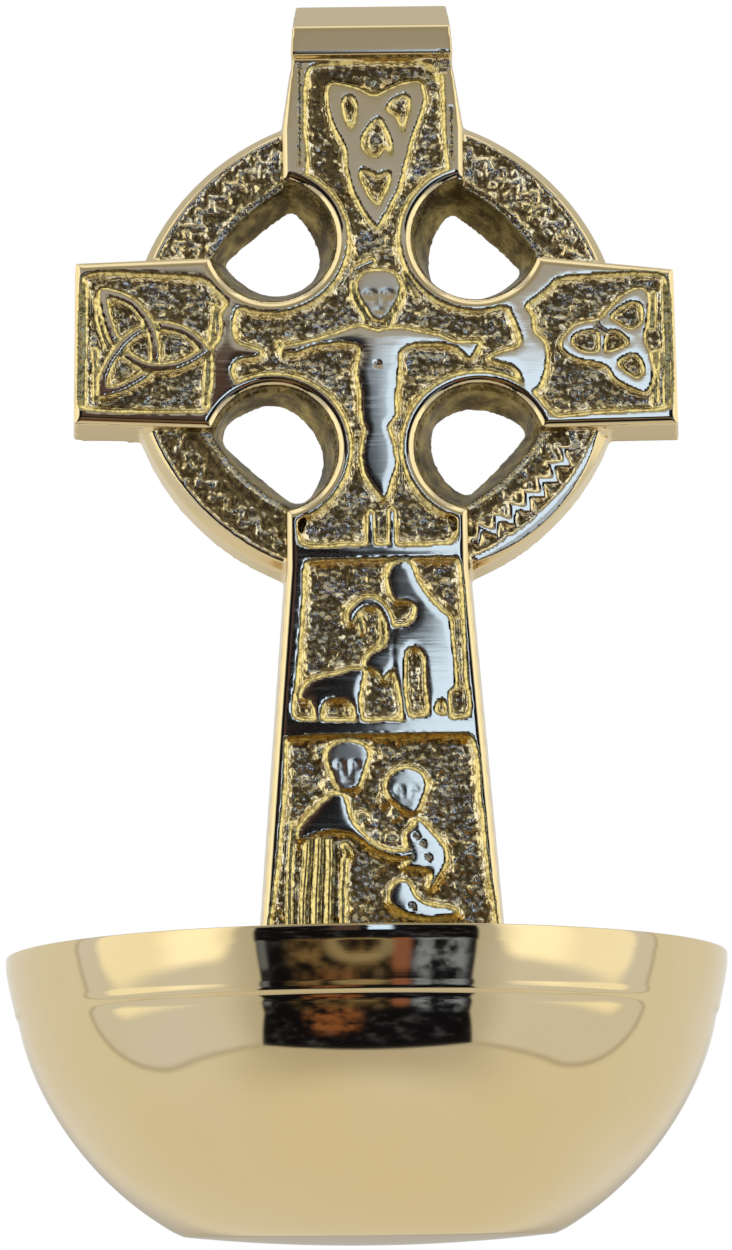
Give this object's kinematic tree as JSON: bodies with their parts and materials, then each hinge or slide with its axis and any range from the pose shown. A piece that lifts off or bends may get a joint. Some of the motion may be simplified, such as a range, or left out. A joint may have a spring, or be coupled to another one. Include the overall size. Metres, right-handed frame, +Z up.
{
  "type": "holy water stoup",
  "caption": "Wall-hung holy water stoup: a cast brass Celtic cross with pierced ring and carved panels, screwed to a half-round polished brass bowl.",
  "frame": {"origin": "centre of the mouth of the hanging hole, in the flat back of the cross", "axes": "+Z up, +Y into the wall, +X to the right as seen from the front"},
  "size_m": [0.091, 0.043, 0.1629],
  "materials": {
    "cast_brass": "cast, with polished borders and figure tops",
    "polished_brass": "mirror polished",
    "screw_brass": "turned"
  },
  "bodies": {
    "root": {"celtic_cross": "cast_brass", "water_bowl": "polished_brass", "cross_screws": "screw_brass"}
  },
  "joints": []
}
